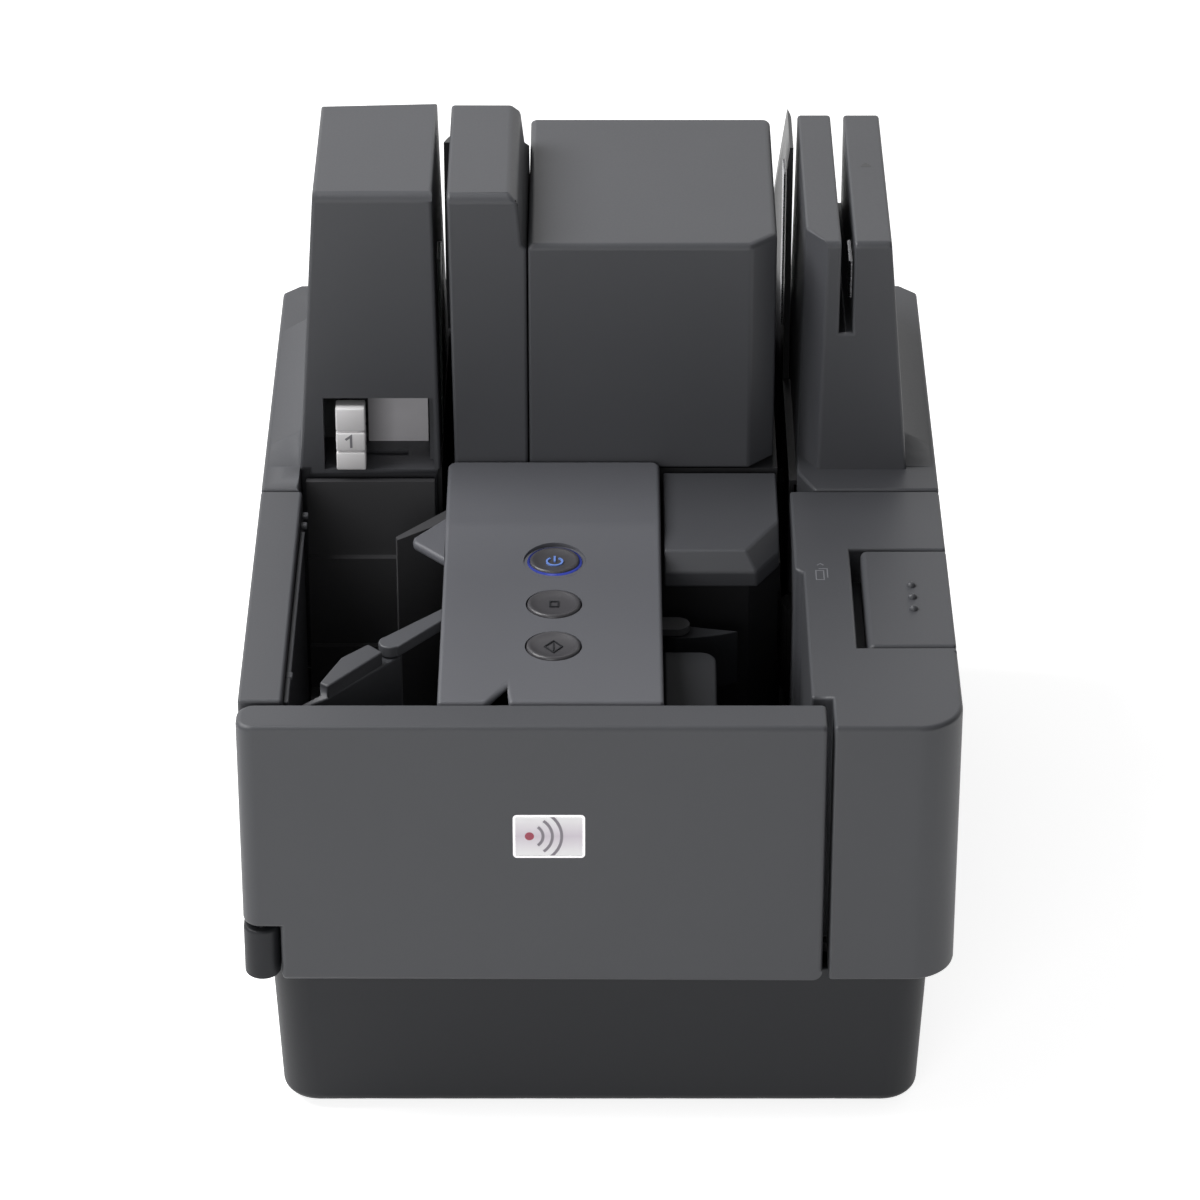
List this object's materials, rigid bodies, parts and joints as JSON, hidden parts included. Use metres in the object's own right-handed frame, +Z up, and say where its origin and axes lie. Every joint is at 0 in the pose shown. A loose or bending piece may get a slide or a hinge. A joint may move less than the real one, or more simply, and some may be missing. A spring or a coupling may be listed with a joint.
{
  "type": "cheque scanner",
  "caption": "Desktop cheque scanner with two document bays, a U-shaped track between upright towers, a push-button console and covers that open.",
  "frame": {"origin": "on the standing surface, under the middle of the machine's outline", "axes": "+Z up, +X to the right and -Y towards the person who uses it"},
  "size_m": [0.17, 0.226, 0.193],
  "materials": {
    "charcoal_shell": "satin moulded",
    "dark_shell": "satin moulded",
    "black_plastic": "semi-matt moulded",
    "button_plastic": "satin moulded",
    "white_plastic": "satin moulded",
    "light_ring": "clear blue, lit from behind",
    "badge_plate": "satin silver",
    "rubber": "matt",
    "steel": "bright",
    "glass": "clear",
    "circuit_board": "solder mask",
    "motor_metal": "zinc plated",
    "socket_shell": "plain"
  },
  "bodies": {
    "chassis": {"base_shell": "dark_shell", "rubber_feet": "rubber", "main_frame": "black_plastic", "cover_knuckle": "dark_shell", "hinge_pins": "steel", "left_side_panel": "charcoal_shell", "right_front_panel": "charcoal_shell", "bay_tray": "black_plastic", "console_panel": "charcoal_shell", "power_ring": "light_ring", "switch_board": "circuit_board", "feeder_frame": "black_plastic", "feed_cover": "charcoal_shell", "hopper_pillar": "dark_shell", "stacker_arm": "black_plastic", "track_floor_plate": "black_plastic", "island_frame": "black_plastic", "rear_track_guide": "black_plastic", "guide_strip": "steel", "rear_body": "charcoal_shell", "mid_tower": "charcoal_shell", "print_cartridge": "black_plastic", "island_scan_module": "black_plastic", "island_scan_glass": "glass", "magnetic_head": "steel", "separation_bracket": "black_plastic", "drive_motor": "motor_metal", "drive_belt": "rubber", "main_board": "circuit_board", "power_jack": "black_plastic", "data_socket": "socket_shell", "base_screws": "steel"},
    "front_cover": {"front_cover": "charcoal_shell", "badge": "badge_plate"},
    "left_unit": {"left_unit": "charcoal_shell", "left_track_liner": "black_plastic", "window_plate": "steel", "unit_scan_module": "black_plastic", "unit_scan_glass": "glass", "left_pinch_bracket": "black_plastic"},
    "lock_lever": {"lock_lever": "white_plastic"},
    "right_unit": {"right_unit": "charcoal_shell", "right_track_liner": "black_plastic", "card_reader_head": "steel", "right_pinch_bracket": "black_plastic"},
    "box_cover": {"box_cover": "charcoal_shell"},
    "release_latch": {"release_latch": "charcoal_shell"},
    "power_button": {"power_button": "button_plastic"},
    "stop_button": {"stop_button": "button_plastic"},
    "start_button": {"start_button": "button_plastic"},
    "stack_paddle": {"stack_paddle": "dark_shell"},
    "press_arm": {"press_arm": "dark_shell"},
    "feed_roller": {"feed_roller": "rubber"},
    "rear_right_roller": {"rear_right_roller": "rubber"},
    "rear_left_roller": {"rear_left_roller": "rubber"},
    "exit_roller": {"exit_roller": "rubber"},
    "motor_pulley": {"motor_pulley": "steel"},
    "separation_roller": {"separation_roller": "rubber"},
    "right_pinch_roller": {"right_pinch_roller": "rubber"},
    "left_pinch_roller": {"left_pinch_roller": "rubber"}
  },
  "joints": [
    {"name": "front_cover_hinge", "type": "hinge", "parent": "chassis", "child": "front_cover", "pos_m": [-0.0807, -0.1087, 0.08], "axis": [0, 0, -1], "range_deg": [0, 95]},
    {"name": "left_unit_tilt", "type": "hinge", "parent": "chassis", "child": "left_unit", "pos_m": [-0.0795, 0, 0.0505], "axis": [0, -1, 0], "range_deg": [0, 30]},
    {"name": "right_unit_tilt", "type": "hinge", "parent": "chassis", "child": "right_unit", "pos_m": [0.0795, 0, 0.0505], "axis": [0, 1, 0], "range_deg": [0, 30]},
    {"name": "box_cover_hinge", "type": "hinge", "parent": "chassis", "child": "box_cover", "pos_m": [0, 0.0866, 0.1184], "axis": [-1, 0, 0], "range_deg": [0, 60]},
    {"name": "lock_lever_slide", "type": "slide", "parent": "left_unit", "child": "lock_lever", "axis": [1, 0, 0], "range_m": [0, 0.012]},
    {"name": "release_latch_slide", "type": "slide", "parent": "chassis", "child": "release_latch", "axis": [-1, 0, 0], "range_m": [0, 0.0023], "stiffness_N_per_m": 300, "springref_m": -0.001},
    {"name": "power_button_press", "type": "slide", "parent": "chassis", "child": "power_button", "axis": [0, 0, -1], "range_m": [0, 0.001], "stiffness_N_per_m": 300, "springref_m": -0.0005},
    {"name": "stop_button_press", "type": "slide", "parent": "chassis", "child": "stop_button", "axis": [0, 0, -1], "range_m": [0, 0.001], "stiffness_N_per_m": 300, "springref_m": -0.0005},
    {"name": "start_button_press", "type": "slide", "parent": "chassis", "child": "start_button", "axis": [0, 0, -1], "range_m": [0, 0.001], "stiffness_N_per_m": 300, "springref_m": -0.0005},
    {"name": "stack_paddle_swing", "type": "hinge", "parent": "chassis", "child": "stack_paddle", "pos_m": [-0.0505, -0.0655, 0.09], "axis": [0, 0, 1], "range_deg": [0, 55], "stiffness_Nm_per_rad": 0.02, "springref_deg": -17.19},
    {"name": "press_arm_swing", "type": "hinge", "parent": "chassis", "child": "press_arm", "pos_m": [0.019, -0.0405, 0.09], "axis": [0, 0, 1], "range_deg": [-20, 20], "stiffness_Nm_per_rad": 0.02},
    {"name": "motor_spin", "type": "hinge", "parent": "chassis", "child": "motor_pulley", "pos_m": [0.004, -0.041, 0.05], "axis": [0, 0, 1], "continuous": true},
    {"name": "feed_roller_spin", "type": "hinge", "parent": "chassis", "child": "feed_roller", "pos_m": [0.0394, -0.0125, 0.08], "axis": [0, 0, 1], "continuous": true},
    {"name": "rear_right_roller_spin", "type": "hinge", "parent": "chassis", "child": "rear_right_roller", "pos_m": [0.0394, 0.052, 0.08], "axis": [0, 0, 1], "continuous": true},
    {"name": "rear_left_roller_spin", "type": "hinge", "parent": "chassis", "child": "rear_left_roller", "pos_m": [-0.0316, 0.052, 0.08], "axis": [0, 0, 1], "continuous": true},
    {"name": "exit_roller_spin", "type": "hinge", "parent": "chassis", "child": "exit_roller", "pos_m": [-0.0316, 0.021, 0.08], "axis": [0, 0, 1], "continuous": true},
    {"name": "separation_roller_spin", "type": "hinge", "parent": "chassis", "child": "separation_roller", "pos_m": [0.05045, -0.0125, 0.08], "axis": [0, 0, 1], "continuous": true},
    {"name": "right_pinch_roller_spin", "type": "hinge", "parent": "right_unit", "child": "right_pinch_roller", "pos_m": [0.05045, 0.052, 0.08], "axis": [0, 0, 1], "continuous": true},
    {"name": "left_pinch_roller_spin", "type": "hinge", "parent": "left_unit", "child": "left_pinch_roller", "pos_m": [-0.04265, 0.052, 0.08], "axis": [0, 0, 1], "continuous": true}
  ],
  "couplings": [
    {"joint": "feed_roller_spin", "follows": "motor_spin", "ratio": 0.75},
    {"joint": "rear_right_roller_spin", "follows": "motor_spin", "ratio": 0.75},
    {"joint": "rear_left_roller_spin", "follows": "motor_spin", "ratio": 0.75},
    {"joint": "exit_roller_spin", "follows": "motor_spin", "ratio": 0.75}
  ]
}
